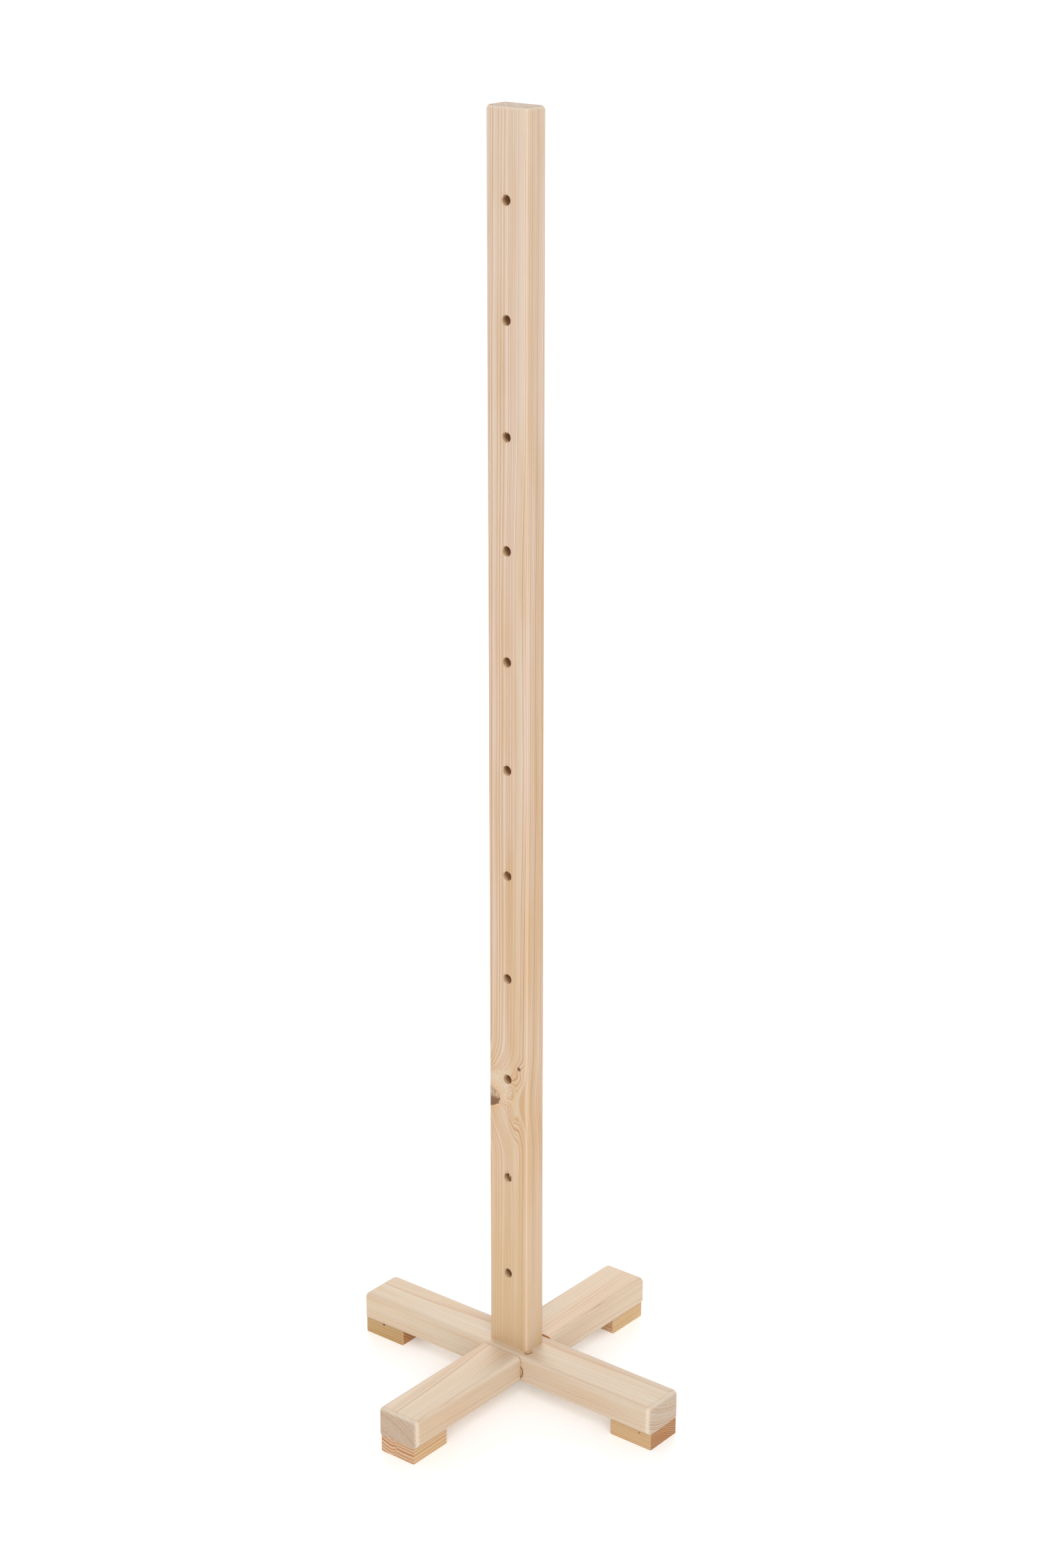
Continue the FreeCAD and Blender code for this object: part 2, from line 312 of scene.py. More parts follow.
def slanted_rounds_and_edge_highlight(tree, board, normal, facing, wood):
    """Every rounded edge is paled by a painted highlight, and the rounds that cut the fibres at a slant are
    paler still.
    """
    slant = add(tree, "ShaderNodeMapRange", {
        "Value": facing, "From Min": 0.2, "From Max": 0.5}, interpolation_type="SMOOTHSTEP")
    past = add(tree, "ShaderNodeMapRange", {
        "Value": facing, "From Min": 0.7, "From Max": 0.97, "To Min": 0.45, "To Max": 0.0,
    }, interpolation_type="SMOOTHSTEP")
    slanted = add(tree, "ShaderNodeMath", {0: slant, 1: past}, operation="MULTIPLY")
    wood = add(tree, "ShaderNodeMix", {
        "Factor": slanted, "A": wood, "B": colour("d9cbb9")}, data_type="RGBA")

    # A flat face looks straight along one axis, and a round doesn't.
    squareness = add(tree, "ShaderNodeVectorMath", {0: normal}, operation="ABSOLUTE")
    squareness = add(tree, "ShaderNodeSeparateXYZ", {"Vector": squareness})
    flatness = add(tree, "ShaderNodeMath", {
        0: live(squareness.outputs, "X"), 1: live(squareness.outputs, "Y")}, operation="MAXIMUM")
    flatness = add(tree, "ShaderNodeMath", {
        0: flatness, 1: live(squareness.outputs, "Z")}, operation="MAXIMUM")
    # Painted highlight: a rounded edge turns paler the further it turns from a flat face.
    edge_highlight = add(tree, "ShaderNodeMapRange", {
        "Value": flatness, "From Min": 0.995, "From Max": 0.75, "To Min": 0.0, "To Max": board.painted_edge_highlight})
    return add(tree, "ShaderNodeMix", {
        "Factor": edge_highlight, "A": wood, "B": colour("e6d5c4")}, data_type="RGBA")


def softwood(name, board):
    """Planed spruce or pine, unfinished. Each year shows as a pale band that darkens to a thin orange line
    and stops short; the lines wander a little, the colour drifts from cream to pink, fine fibres run along
    the board, and sawn ends are greyer and rough."""
    material, tree = new_material(name)
    texture, place = place_in_mm(tree)
    normal = live(texture.outputs, "Normal")
    trunk, season, year, distances = growth_rings(tree, place, board)
    lines = year_lines(tree, board, season, year)
    long_grain, lateness, fibre = planed_face(tree, board, trunk, lines)
    end_wood, end_marks = sawn_end(tree, board, trunk, lines)
    facing = grain_facing(tree, board, normal)
    end = add(tree, "ShaderNodeMapRange", {
        "Value": facing, "From Min": 0.45, "From Max": 0.9}, interpolation_type="SMOOTHSTEP")
    wood = add(tree, "ShaderNodeMix", {"Factor": end, "A": long_grain, "B": end_wood}, data_type="RGBA")
    wood = slanted_rounds_and_edge_highlight(tree, board, normal, facing, wood)

    # Height of the surface in millimetres: late wood stands proud, fibres and saw marks are sunk.
    ridge = add(tree, "ShaderNodeMath", {0: lateness, 1: 0.03}, operation="MULTIPLY")
    height = add(tree, "ShaderNodeMath", {0: fibre, 1: 0.03, 2: ridge}, operation="MULTIPLY_ADD")
    end_height = add(tree, "ShaderNodeMath", {0: end_marks, 1: 0.12}, operation="MULTIPLY")
    height = add(tree, "ShaderNodeMix", {"Factor": end, "A": height, "B": end_height})

    for knot, distance in zip(board.knots, distances):
        if knot.burl:
            wood, height = torn_grain(tree, knot, place, distance, wood, height)
        if knot.radius:
            wood, height = branch_wood(tree, knot, place, distance, wood, height)
    if board.notch:
        wood = notch_shade_and_end_grain(tree, board.notch, place, facing, wood)
    if board.holes:
        wood, height = drilled_walls(tree, board.holes, place, wood, height)

    roughness = add(tree, "ShaderNodeMapRange", {"Value": fibre, "To Min": 0.42, "To Max": 0.6})
    roughness = add(tree, "ShaderNodeMix", {"Factor": end, "A": roughness, "B": 0.85})
    bump = add(tree, "ShaderNodeBump", {"Height": height, "Strength": 1.0, "Distance": 1 / MM})
    shader = add(tree, "ShaderNodeBsdfPrincipled", {
        "Base Color": wood, "Roughness": roughness, "Normal": bump, "IOR": 1.5})
    add(tree, "ShaderNodeOutputMaterial", {"Surface": shader})
    return material


def torn_grain(tree, knot, place, distance, wood, height):
    """Wild grain round a branch, torn up by the planer: pale, speckled and rough."""
    edge_wander = 20.0     # how far the torn patch's edge wanders, in millimetres
    edge = add(tree, "ShaderNodeTexNoise", {"Vector": place, "Scale": 1 / 9, "Detail": 3.0})
    spread = add(tree, "ShaderNodeMath", {0: edge, 1: edge_wander, 2: distance}, operation="MULTIPLY_ADD")
    torn = add(tree, "ShaderNodeMapRange", {
        "Value": spread, "From Min": knot.burl + 4, "From Max": knot.burl + 13, "To Min": 0.75, "To Max": 0.0,
    }, interpolation_type="SMOOTHSTEP")
    # Torn tufts are drawn 1.6 mm across so that they show.
    tuft_place = add(tree, "ShaderNodeMapping", {
        "Vector": place, "Rotation": (0.0, 0.6, 0.0), "Scale": every(1.6, 1.6, 3)})
    tufts = add(tree, "ShaderNodeTexNoise", {
        "Vector": tuft_place, "Scale": 1.0, "Detail": 3.0, "Roughness": 0.65})
    fuzz = fill_ramp(add(tree, "ShaderNodeValToRGB", {"Fac": tufts}), [
        (0.3, colour("b3906c")), (0.44, colour("cfb797")), (0.62, colour("dccab2"))])
    wood = add(tree, "ShaderNodeMix", {"Factor": torn, "A": wood, "B": fuzz}, data_type="RGBA")
    lumps = add(tree, "ShaderNodeMath", {0: tufts, 1: torn}, operation="MULTIPLY")
    height = add(tree, "ShaderNodeMath", {0: lumps, 1: 0.6, 2: height}, operation="MULTIPLY_ADD")
    return wood, height


def branch_heart(tree, knot, offset, share):
    """The branch's own close rings. Where it is torn, its upper half is pale between dark splits."""
    ring_turns = 3.4     # times the colour turns from pale to dark or back, middle to rim
    rings = add(tree, "ShaderNodeMath", {0: share, 1: ring_turns}, operation="MULTIPLY")
    rings = add(tree, "ShaderNodeMath", {0: rings, 1: 1.0}, operation="PINGPONG")
    rings = add(tree, "ShaderNodeMapRange", {"Value": rings, "To Min": 0.0, "To Max": 0.35})
    heart = add(tree, "ShaderNodeMix", {
        "Factor": rings, "A": colour(knot.heart), "B": colour(knot.rim)}, data_type="RGBA")
    if not knot.torn:
        return heart
    split_place = add(tree, "ShaderNodeMapping", {
        "Vector": offset, "Rotation": (0.0, 0.7, 0.0), "Scale": every(1.3, 5, 6)})
    splits = add(tree, "ShaderNodeTexNoise", {"Vector": split_place, "Scale": 1.0, "Detail": 2.0})
    torn_heart = fill_ramp(add(tree, "ShaderNodeValToRGB", {"Fac": splits}), [
        (0.34, colour("6a4a30")), (0.45, colour("a98c6c")), (0.6, colour("c9b396"))])
    rise = live(add(tree, "ShaderNodeSeparateXYZ", {"Vector": offset}).outputs, "Z")
    upper = add(tree, "ShaderNodeMapRange", {
        "Value": rise, "From Min": -0.25 * knot.radius, "From Max": 0.1 * knot.radius})
    return add(tree, "ShaderNodeMix", {"Factor": upper, "A": heart, "B": torn_heart}, data_type="RGBA")


def bark_line(tree, knot, offset, share):
    """Where the thin line of bark round a cut branch shows."""
    from_rim = add(tree, "ShaderNodeMath", {0: share, 1: 1.0}, operation="SUBTRACT")
    from_rim = add(tree, "ShaderNodeMath", {0: from_rim}, operation="ABSOLUTE")
    bark = add(tree, "ShaderNodeMapRange", {
        "Value": from_rim, "From Min": 0.25 / knot.radius, "From Max": 1.1 / knot.radius,
        "To Min": 0.9, "To Max": 0.0})
    if not knot.rim_side:
        return bark
    side = Vector(knot.rim_side).normalized()
    towards = add(tree, "ShaderNodeVectorMath", {0: offset, 1: side}, operation="DOT_PRODUCT")
    shown = add(tree, "ShaderNodeMapRange", {
        "Value": towards, "From Min": 0.1 * knot.radius, "From Max": 0.7 * knot.radius,
        "To Min": 0.15, "To Max": 1.0})
    return add(tree, "ShaderNodeMath", {0: bark, 1: shown}, operation="MULTIPLY")


def branch_wood(tree, knot, place, distance, wood, height):
    """A cut branch: its heart, a dark line of bark round it and a warm stain beyond."""
    ragged = add(tree, "ShaderNodeTexNoise", {"Vector": place, "Scale": 1 / 5, "Detail": 3.0})
    wander = add(tree, "ShaderNodeMath", {
        0: ragged, 1: 0.5 * knot.radius, 2: distance}, operation="MULTIPLY_ADD")
    # The way out from the middle, with its uneven rim at 1.
    share = add(tree, "ShaderNodeMath", {0: wander, 1: 1.25 * knot.radius}, operation="DIVIDE")
    offset = add(tree, "ShaderNodeVectorMath", {0: place, 1: knot.at}, operation="SUBTRACT")
    stain = add(tree, "ShaderNodeMapRange", {
        "Value": share, "From Min": 1.0, "From Max": 1.8, "To Min": 0.45, "To Max": 0.0,
    }, interpolation_type="SMOOTHSTEP")
    wood = add(tree, "ShaderNodeMix", {
        "Factor": stain, "A": wood, "B": colour("d3a072")}, data_type="RGBA")
    inside = add(tree, "ShaderNodeMapRange", {
        "Value": share, "From Min": 0.92, "From Max": 1.0, "To Min": 1.0, "To Max": 0.0,
    }, interpolation_type="SMOOTHSTEP")
    heart = branch_heart(tree, knot, offset, share)
    wood = add(tree, "ShaderNodeMix", {"Factor": inside, "A": wood, "B": heart}, data_type="RGBA")
    bark = bark_line(tree, knot, offset, share)
    wood = add(tree, "ShaderNodeMix", {
        "Factor": bark, "A": wood, "B": colour(knot.rim)}, data_type="RGBA")
    height = add(tree, "ShaderNodeMath", {0: inside, 1: -0.1, 2: height}, operation="MULTIPLY_ADD")
    return wood, height


def notch_shade_and_end_grain(tree, notch, place, facing, wood):
    """Where a notch stops against the other rail, a thin brown line of painted shade runs along the seam. The
    notch's own walls are fresh end grain, orange with resin."""
    parts = add(tree, "ShaderNodeSeparateXYZ", {"Vector": place})
    side_on = add(tree, "ShaderNodeMath", {0: facing, 1: 0.5}, operation="LESS_THAN")
    past = add(tree, "ShaderNodeMath", {0: live(parts.outputs, "Y"), 1: notch}, operation="SUBTRACT")
    past = add(tree, "ShaderNodeMath", {0: past}, operation="ABSOLUTE")
    uneven = add(tree, "ShaderNodeTexNoise", {"Vector": place, "Scale": 1 / 6, "Detail": 1.0})
    past = add(tree, "ShaderNodeMath", {0: uneven, 1: -1.2, 2: past}, operation="MULTIPLY_ADD")
    # Painted shade: a thin brown line along the seam, on the faces that lie along the grain.
    seam_shade = add(tree, "ShaderNodeMapRange", {
        "Value": past, "From Min": -0.3, "From Max": 0.15, "To Min": 0.75, "To Max": 0.0})
    seam_shade = add(tree, "ShaderNodeMath", {0: seam_shade, 1: side_on}, operation="MULTIPLY")
    wood = add(tree, "ShaderNodeMix", {
        "Factor": seam_shade, "A": wood, "B": colour("6e4526")}, data_type="RGBA")
    beside = add(tree, "ShaderNodeMath", {0: live(parts.outputs, "Y")}, operation="ABSOLUTE")
    past_wall = abs(notch) + 3     # far enough out to take in the wall, well short of the sawn ends
    wall = add(tree, "ShaderNodeMath", {0: beside, 1: past_wall}, operation="LESS_THAN")
    wall = add(tree, "ShaderNodeMath", {0: wall, 1: side_on}, operation="SUBTRACT", use_clamp=True)
    return add(tree, "ShaderNodeMix", {
        "Factor": wall, "A": wood, "B": colour("cb9565")}, data_type="RGBA")


def drilled_walls(tree, holes, place, wood, height):
    """Inside a drilled hole: browner wood, partly rubbed hot by the drill and partly painted shade, with its
    fine rings, and paler torn wood at the mouths."""
    parts = add(tree, "ShaderNodeSeparateXYZ", {"Vector": place})
    above = add(tree, "ShaderNodeMath", {0: live(parts.outputs, "Z"), 1: -holes.first}, operation="ADD")
    nearest = add(tree, "ShaderNodeMath", {
        0: above, 1: holes.pitch / 2, 2: -holes.pitch / 2}, operation="WRAP")
    flat = add(tree, "ShaderNodeCombineXYZ", {"X": live(parts.outputs, "X"), "Z": nearest})
    distance = add(tree, "ShaderNodeVectorMath", {0: flat}, operation="LENGTH")
    inside = add(tree, "ShaderNodeMapRange", {
        "Value": distance, "From Min": holes.radius + 0.05, "From Max": holes.radius + 0.35,
        "To Min": 1.0, "To Max": 0.0})
    # The drill left rings 1.1 mm apart.
    drill_place = add(tree, "ShaderNodeMapping", {"Vector": place, "Scale": (0.06, 1 / 1.1, 0.06)})
    drill_marks = add(tree, "ShaderNodeTexNoise", {"Vector": drill_place, "Scale": 1.0, "Detail": 3.0})
    # The brown is partly the drill's burnish and partly painted shade inside the hole.
    burnished_shaded_brown = fill_ramp(add(tree, "ShaderNodeValToRGB", {"Fac": drill_marks}), [
        (0.3, colour("8f5c2a")), (0.7, colour("b9834a"))])
    from_middle = add(tree, "ShaderNodeMath", {0: live(parts.outputs, "Y")}, operation="ABSOLUTE")
    ragged = add(tree, "ShaderNodeTexNoise", {"Vector": place, "Scale": 1 / 2.5, "Detail": 2.0})
    from_middle = add(tree, "ShaderNodeMath", {
        0: ragged, 1: 5.0, 2: from_middle}, operation="MULTIPLY_ADD")
    mouth = add(tree, "ShaderNodeMapRange", {
        "Value": from_middle, "From Min": holes.depth - 6.0, "From Max": holes.depth + 2.0,
    }, interpolation_type="SMOOTHSTEP")
    wall = add(tree, "ShaderNodeMix", {
        "Factor": mouth, "A": burnished_shaded_brown, "B": colour("d6b88f")}, data_type="RGBA")
    burnish_and_shade = add(tree, "ShaderNodeMath", {0: inside, 1: 0.85}, operation="MULTIPLY")
    wood = add(tree, "ShaderNodeMix", {"Factor": burnish_and_shade, "A": wood, "B": wall}, data_type="RGBA")
    fuzz = add(tree, "ShaderNodeTexNoise", {"Vector": place, "Scale": 1 / 0.9, "Detail": 3.0})
    rough = add(tree, "ShaderNodeMath", {0: fuzz, 1: inside}, operation="MULTIPLY")
    height = add(tree, "ShaderNodeMath", {0: rough, 1: 0.25, 2: height}, operation="MULTIPLY_ADD")
    return wood, height


# --- sizes read from the frame, in millimetres ---------------------------------------------
def low(node):
    """A piece's lowest corner."""
    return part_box(node)[0] * MM


def high(node):
    """A piece's highest corner."""
    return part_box(node)[1] * MM


hole_face = low("post").y
back_face = high("post").y
post_edge = high("post").x
rail_top = high("long_rail").z
rail_side = low("long_rail").y
pad_side = low("foot_pad_right").y
pad_end = low("foot_pad_front").y
hole_mounts = sorted(
    (m for m in frame["record"]["mounts"] if m["name"].startswith("peg_hole")), key=lambda m: m["pos_m"][2])
hole_heights = [m["pos_m"][2] * MM for m in hole_mounts]
peg_holes = Holes(
    radius=hole_mounts[0]["dims"]["r_mm"], depth=-hole_face, first=hole_heights[0],
    pitch=hole_heights[1] - hole_heights[0])


# --- the boards ----------------------------------------------------------------------------
def planed_spruce_post():
    """Planed spruce, sawn with the pith behind and to the right of it: on the hole face the lines stand
    3 mm apart at the left and 7 mm at the right, and down the right-hand side they are close and even.
    Branches near the third hole from the bottom bend them, and the grain round the largest is torn."""
    by_hole = hole_heights[2]
    knots = (
        Knot((-19, hole_face, by_hole - 15), (0.1, 1, 0.05), radius=0, lift=3.0, reach=36, core=18, burl=25),
        Knot((-30, hole_face, by_hole - 32), (0.2, 1, 0.1), radius=14.5, lift=7, reach=100,
             heart="84582f", rim="56351b", rim_side=(0.6, 0, -0.8), torn=True),
        Knot((8, hole_face, by_hole - 80), (0.02, -0.1, 1), radius=0, lift=1.0, reach=14),
        Knot((20, hole_face, by_hole + 21), (-0.3, 1, 0.2), radius=1.9, lift=0.9, reach=18),
        Knot((16, hole_face, by_hole - 56), (0.1, 1, 0), radius=2.4, lift=0.3, reach=12,
             heart="c8a176", rim="c29a6e"),
    )
    return softwood("planed_spruce_post", Board(
        turn=GRAIN_UP, pith=(70, 75, 0), ring=2.45, cream="d9c7b4", blush="cfb38e", late="b06c34",
        late_strength=1.05, end_tint="cfbfb0", seed=3.1, taper=0.004, wobble=6.0, ripple=0.45,
        plainness=0.9, faintest=0.3, late_start=0.72, toning=(1750, 100), knots=knots, holes=peg_holes))


def planed_spruce_long_rail():
    """Planed spruce with the pith high behind it: broad lines on top and lopsided smiling rings on the ends.
    One branch shows twice, at the post's corner and beside the other rail."""
    branch = Knot(
        (post_edge + 1.3, hole_face + 1.7, rail_top), (-0.03, -0.575, -0.816), radius=4.6, lift=1.2, reach=20,
        heart="cfae84", rim="6f4a26", rim_side=(0.9, -0.6, 0.0))
    return softwood("planed_spruce_long_rail", Board(
        turn=GRAIN_ALONG_X, pith=(0, 33, rail_top + 78), ring=4.0, cream="d2c3ae", blush="cfb597",
        late="ab7444", late_strength=0.55, end_tint="c4b3a0", seed=11.7, wobble=8.0, plainness=2.0,
        end_strength=1.3, knots=(branch,)))


def planed_spruce_cross_rail():
    """Planed spruce, slow grown, with the pith below it and to the left: lines on top that crowd towards
    the right edge, and close slanting rings on the ends."""
    return softwood("planed_spruce_cross_rail", Board(
        turn=GRAIN_ALONG_Y, pith=(-62, 0, rail_top - 150), ring=1.35, cream="d6c5ae", blush="d3b899",
        late="a87548", late_strength=0.85, end_tint="bdaa96", seed=23.9, plainness=3.0, faintest=0.3,
        end_strength=1.2, notch=rail_side))


def planed_pine_pad(name, **own):
    """Planed pine, yellower than the rails, with strong orange-brown late wood. Each pad's own cut and
    colours are laid over what the four share."""
    shared = dict(
        cream="d5bb8f", blush="d0ad7b", late="a2622c", late_strength=0.72, end_tint="cdb08c", taper=0.01,
        wobble=2.0, ripple=0.25, unevenness=0.8, plainness=0.4, faintest=0.4, end_strength=1.1,
        late_start=0.7, painted_edge_highlight=0.0)
    return softwood(name, Board(**{**shared, **own}))


def planed_pine_pads():
    """The four pads' materials, by piece: each pad was cut from another place in the wood."""
    # A branch that stops short of the surface pulls the front pad's rings in to a point.
    pulled = Knot((-5, pad_end, 0), (0, 0.1, 1), radius=0, lift=-0.85, reach=4.2, pointed=True)
    # Pin knots show as brown specks on two pads' sides.
    right_speck = Knot(
        (240, pad_side, 21), (0.1, 1, 0.2), radius=0.7, lift=0.2, reach=6, heart="9a7046", rim="8a5f38")
    left_speck = Knot(
        (-227, pad_side, 22), (0.1, 1, 0.2), radius=1.1, lift=0.2, reach=6, heart="6f4726", rim="5a371c")
    return {
        "foot_pad_front": planed_pine_pad(
            "planed_pine_front_pad", turn=GRAIN_ALONG_Y, pith=(15, 0, 148), ring=5.2, seed=5.3,
            cream="dabd97", end_tint="d3b391", knots=(pulled,)),
        "foot_pad_right": planed_pine_pad(
            "planed_pine_right_pad", turn=GRAIN_ALONG_X, pith=(0, -27, -86), ring=2.9, seed=7.9,
            cream="cfb48b", blush="caa676", end_tint="b5906c", end_strength=1.5, knots=(right_speck,)),
        "foot_pad_back": planed_pine_pad(
            "planed_pine_back_pad", turn=GRAIN_ALONG_Y, pith=(20, 0, 92), ring=3.3, seed=13.1),
        "foot_pad_left": planed_pine_pad(
            "planed_pine_left_pad", turn=GRAIN_ALONG_X, pith=(0, -66, -50), ring=3.0, seed=17.7,
            cream="bca373", blush="b6955e", end_tint="b59066", faintest=0.7, end_strength=1.5,
            knots=(left_speck,)),
    }


def fluted_beech():
    """Turned and fluted beech: even pinkish brown, flecked with short darker dashes along the dowel."""
    material, tree = new_material("fluted_beech")
    place = place_in_mm(tree)[1]
    dash_place = add(tree, "ShaderNodeMapping", {"Vector": place, "Scale": every(0.6, 0.6, 4)})
    dashes = add(tree, "ShaderNodeTexNoise", {"Vector": dash_place, "Scale": 1.0, "Detail": 2.0})
    tint = fill_ramp(add(tree, "ShaderNodeValToRGB", {"Fac": dashes}), [
        (0.3, colour("b98a62")), (0.5, colour("cda27a")), (0.7, colour("d6b08a"))])
    bump = add(tree, "ShaderNodeBump", {"Height": dashes, "Strength": 1.0, "Distance": 0.05 / MM})
    shader = add(tree, "ShaderNodeBsdfPrincipled", {"Base Color": tint, "Roughness": 0.6, "Normal": bump})
    add(tree, "ShaderNodeOutputMaterial", {"Surface": shader})
    return material


def zinc_plated_steel():
    """Zinc-plated steel, bright passivated: cool grey with a faint yellow tinge in patches, soft gloss and
    the fine grain of the plating."""
    material, tree = new_material("zinc_plated_steel")
    place = place_in_mm(tree)[1]
    patches = add(tree, "ShaderNodeTexNoise", {"Vector": place, "Scale": 1 / 5, "Detail": 2.0})
    tint = fill_ramp(add(tree, "ShaderNodeValToRGB", {"Fac": patches}), [
        (0.35, colour("b9bcc0")), (0.55, colour("c9cac8")), (0.7, colour("cfc8b2"))])
    # Plating grain is drawn 0.4 mm wide so that it shows.
    grain = add(tree, "ShaderNodeTexNoise", {"Vector": place, "Scale": 1 / 0.4, "Detail": 2.0})
    roughness = add(tree, "ShaderNodeMapRange", {
        "Value": grain, "From Min": 0.3, "From Max": 0.7, "To Min": 0.26, "To Max": 0.42})
    bump = add(tree, "ShaderNodeBump", {"Height": grain, "Strength": 1.0, "Distance": 0.02 / MM})
    shader = add(tree, "ShaderNodeBsdfPrincipled", {
        "Base Color": tint, "Roughness": roughness, "Metallic": 1.0, "Normal": bump})
    add(tree, "ShaderNodeOutputMaterial", {"Surface": shader})
    return material


def dress(node, material):
    """Puts one material on a CAD piece."""
    mesh = nodes[node].data
    mesh.materials.clear()
    mesh.materials.append(material)


dress("post", planed_spruce_post())
dress("long_rail", planed_spruce_long_rail())
dress("cross_rail", planed_spruce_cross_rail())
for pad, pine in planed_pine_pads().items():
    dress(pad, pine)
dress("locating_dowels", fluted_beech())
steel = zinc_plated_steel()
single_fixings = ("lap_screws", "post_bolt", "post_bolt_washer", "threaded_insert")
for node in nodes:
    if node.startswith("pad_screws") or node in single_fixings:
        dress(node, steel)


# --- torn fibres at the drilled holes -------------------------------------------------------
def torn_spruce_fibre():
    """Raw spruce splinters: the palest wood on the rack, dry and dull, a little browner in places."""
    material, tree = new_material("torn_spruce_fibre")
    place = place_in_mm(tree)[1]
    patches = add(tree, "ShaderNodeTexNoise", {"Vector": place, "Scale": 1 / 2, "Detail": 2.0})
    tint = fill_ramp(add(tree, "ShaderNodeValToRGB", {"Fac": patches}), [
        (0.35, colour("c39a6c")), (0.5, colour("dfc6a4")), (0.65, colour("ead9c1"))])
    shader = add(tree, "ShaderNodeBsdfPrincipled", {"Base Color": tint, "Roughness": 0.8})
    add(tree, "ShaderNodeOutputMaterial", {"Surface": shader})
    return material


def fibre_tree():
    """Splinters round the rim of every hole, laid along the grain and lifted a little, more on the left.
    The base mesh has one point at the middle of each mouth, with how ragged that mouth is."""
    tree = bpy.data.node_groups.new("torn_fibres", "GeometryNodeTree")
    face = tree.interface
    face.new_socket("Geometry", in_out="INPUT", socket_type="NodeSocketGeometry")
    for name, kind in (
            ("Hole radius", "NodeSocketFloat"), ("Places", "NodeSocketInt"), ("Length", "NodeSocketFloat"),
            ("Thickness", "NodeSocketFloat"), ("Seed", "NodeSocketInt"), ("Material", "NodeSocketMaterial")):
        face.new_socket(name, in_out="INPUT", socket_type=kind)
    face.new_socket("Geometry", in_out="OUTPUT", socket_type="NodeSocketGeometry")
    given = add(tree, "NodeGroupInput").outputs
    rim = add(tree, "GeometryNodeMeshCircle", {"Vertices": given["Places"], "Radius": given["Hole radius"]})
    upright = add(tree, "GeometryNodeTransform", {"Geometry": rim, "Rotation": (math.radians(90), 0.0, 0.0)})
    mouths = add(tree, "GeometryNodeInstanceOnPoints", {"Points": given["Geometry"], "Instance": upright})
    rims = add(tree, "GeometryNodeRealizeInstances", {"Geometry": mouths})

    # A rim point keeps its splinter if chance allows; the left half is torn most.
    where = add(tree, "GeometryNodeInputPosition")
    across = live(add(tree, "ShaderNodeSeparateXYZ", {"Vector": where}).outputs, "X")
    leftness = add(tree, "ShaderNodeMath", {0: across, 1: given["Hole radius"]}, operation="DIVIDE")
    ragged = add(tree, "GeometryNodeInputNamedAttribute", {"Name": "ragged"}, data_type="FLOAT")
    keep = add(tree, "ShaderNodeMath", {0: leftness, 1: -0.55, 2: ragged}, operation="MULTIPLY_ADD")
    chance = add(tree, "FunctionNodeRandomValue", {"Seed": given["Seed"]}, data_type="FLOAT")
    bare = add(tree, "FunctionNodeCompare", {0: chance, 1: keep}, data_type="FLOAT", operation="GREATER_THAN")
    kept = add(tree, "GeometryNodeDeleteGeometry", {"Geometry": rims, "Selection": bare}, domain="POINT")

    # One splinter: a thin four-sided sliver, pointed at its tip.
    sliver = add(tree, "GeometryNodeMeshCone", {
        "Vertices": 4, "Side Segments": 2, "Radius Top": 0.0, "Radius Bottom": given["Thickness"],
        "Depth": given["Length"]})
    # It leans out of the hole a little and to one side, upwards or downwards, and its size varies.
    seeds = [add(tree, "ShaderNodeMath", {0: given["Seed"], 1: float(n)}, operation="ADD") for n in (1, 2, 3)]
    tilt = add(tree, "FunctionNodeRandomValue", {
        "Min": (0.06, -0.35, 0.0), "Max": (0.5, 0.35, 1.5), "Seed": seeds[0]}, data_type="FLOAT_VECTOR")
    tilt_parts = add(tree, "ShaderNodeSeparateXYZ", {"Vector": tilt})
    sideways = add(tree, "ShaderNodeMath", {
        0: leftness, 1: -0.6, 2: live(tilt_parts.outputs, "Y")}, operation="MULTIPLY_ADD")
    downwards = add(tree, "ShaderNodeMath", {0: math.pi, 1: sideways}, operation="SUBTRACT")
    coin = add(tree, "FunctionNodeRandomValue", {"Probability": 0.5, "Seed": seeds[1]}, data_type="BOOLEAN")
    swing = add(tree, "GeometryNodeSwitch", {
        "Switch": coin, "False": sideways, "True": downwards}, input_type="FLOAT")
    lean = add(tree, "ShaderNodeCombineXYZ", {
        "X": live(tilt_parts.outputs, "X"), "Y": swing, "Z": 0.0})
    stretch = add(tree, "FunctionNodeRandomValue", {
        "Min": (0.5, 0.5, 0.35), "Max": (1.4, 1.4, 1.2), "Seed": seeds[2]}, data_type="FLOAT_VECTOR")
    splinters = add(tree, "GeometryNodeInstanceOnPoints", {
        "Points": kept, "Instance": sliver, "Rotation": lean, "Scale": stretch})
    solid = add(tree, "GeometryNodeRealizeInstances", {"Geometry": splinters})
    done = add(tree, "GeometryNodeSetMaterial", {"Geometry": solid, "Material": given["Material"]})
    add(tree, "NodeGroupOutput", {"Geometry": done})
    return tree


def make_hole_mouths():
    """A point at the middle of each hole's mouth, front and back, with how ragged that mouth is."""
    mesh = bpy.data.meshes.new("hole_mouths")
    points = [(0.0, y / MM, z / MM) for y in (hole_face, back_face) for z in hole_heights]
    mesh.from_pydata(points, [], [])
    # Most mouths are a little ragged, one more than the next; one hole split as it was drilled.
    raggedness = [0.15 + 0.12 * (i % 3) for i in range(len(hole_heights))]
    split_hole = 1
    raggedness[split_hole] = 0.95
    mesh.attributes.new("ragged", "FLOAT", "POINT").data.foreach_set("value", raggedness * 2)
    piece = bpy.data.objects.new("hole_mouths", mesh)
    bpy.context.collection.objects.link(piece)
    return piece


